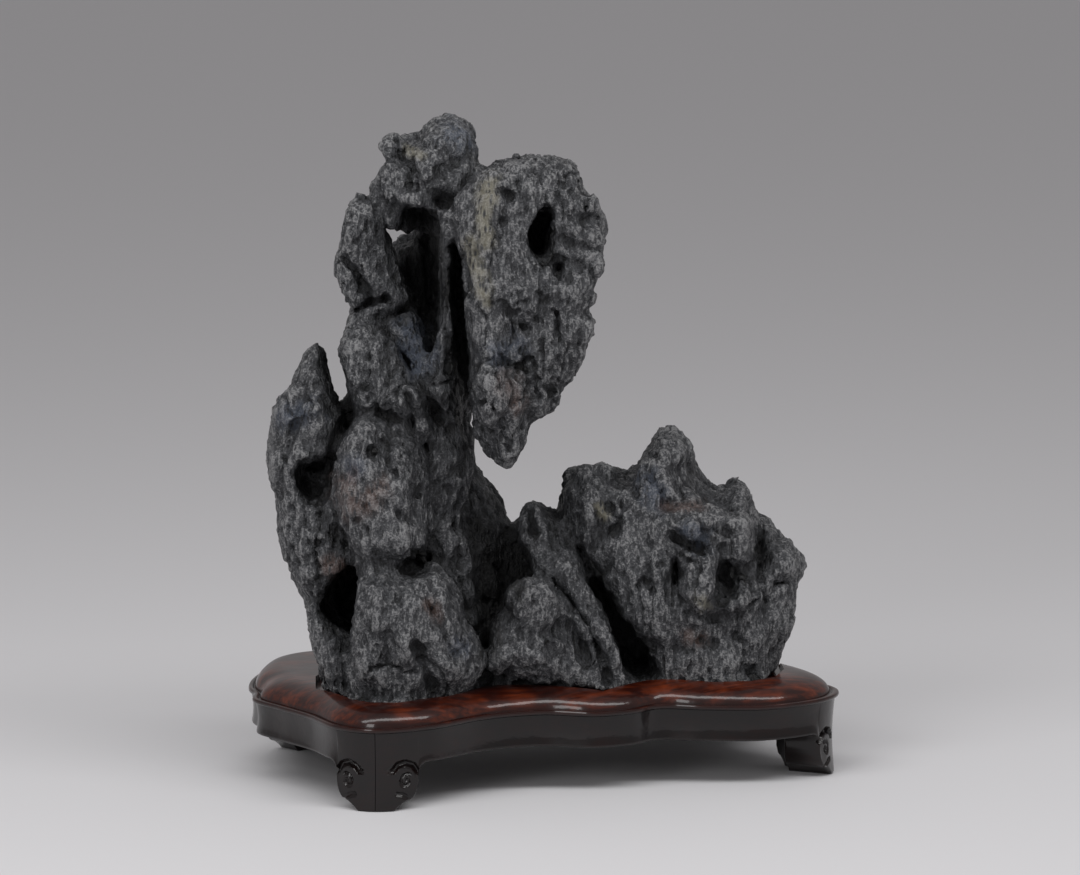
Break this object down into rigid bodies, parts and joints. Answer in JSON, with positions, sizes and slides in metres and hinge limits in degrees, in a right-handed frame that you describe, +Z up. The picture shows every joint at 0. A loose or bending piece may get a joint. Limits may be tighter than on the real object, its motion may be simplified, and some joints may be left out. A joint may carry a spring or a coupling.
{
  "type": "scholar stone",
  "caption": "Dark fretted limestone scholar's rock with an overhanging lobe and a pierced crown, set in a lobed hardwood stand on scroll feet.",
  "frame": {"origin": "on the surface that the stand rests on, below the middle of the whole object's box", "axes": "+Z up, +X along the stand's long side towards the right as the picture shows it, -Y towards the front"},
  "size_m": [0.2926, 0.1842, 0.3423],
  "materials": {
    "limestone": "natural stone, dull with slightly waxy high points",
    "lacquered_hardwood": "gloss lacquer"
  },
  "bodies": {
    "root": {"stone": "limestone", "stand_top": "lacquered_hardwood", "apron_front": "lacquered_hardwood", "apron_right": "lacquered_hardwood", "apron_back": "lacquered_hardwood", "apron_left": "lacquered_hardwood"}
  },
  "joints": []
}
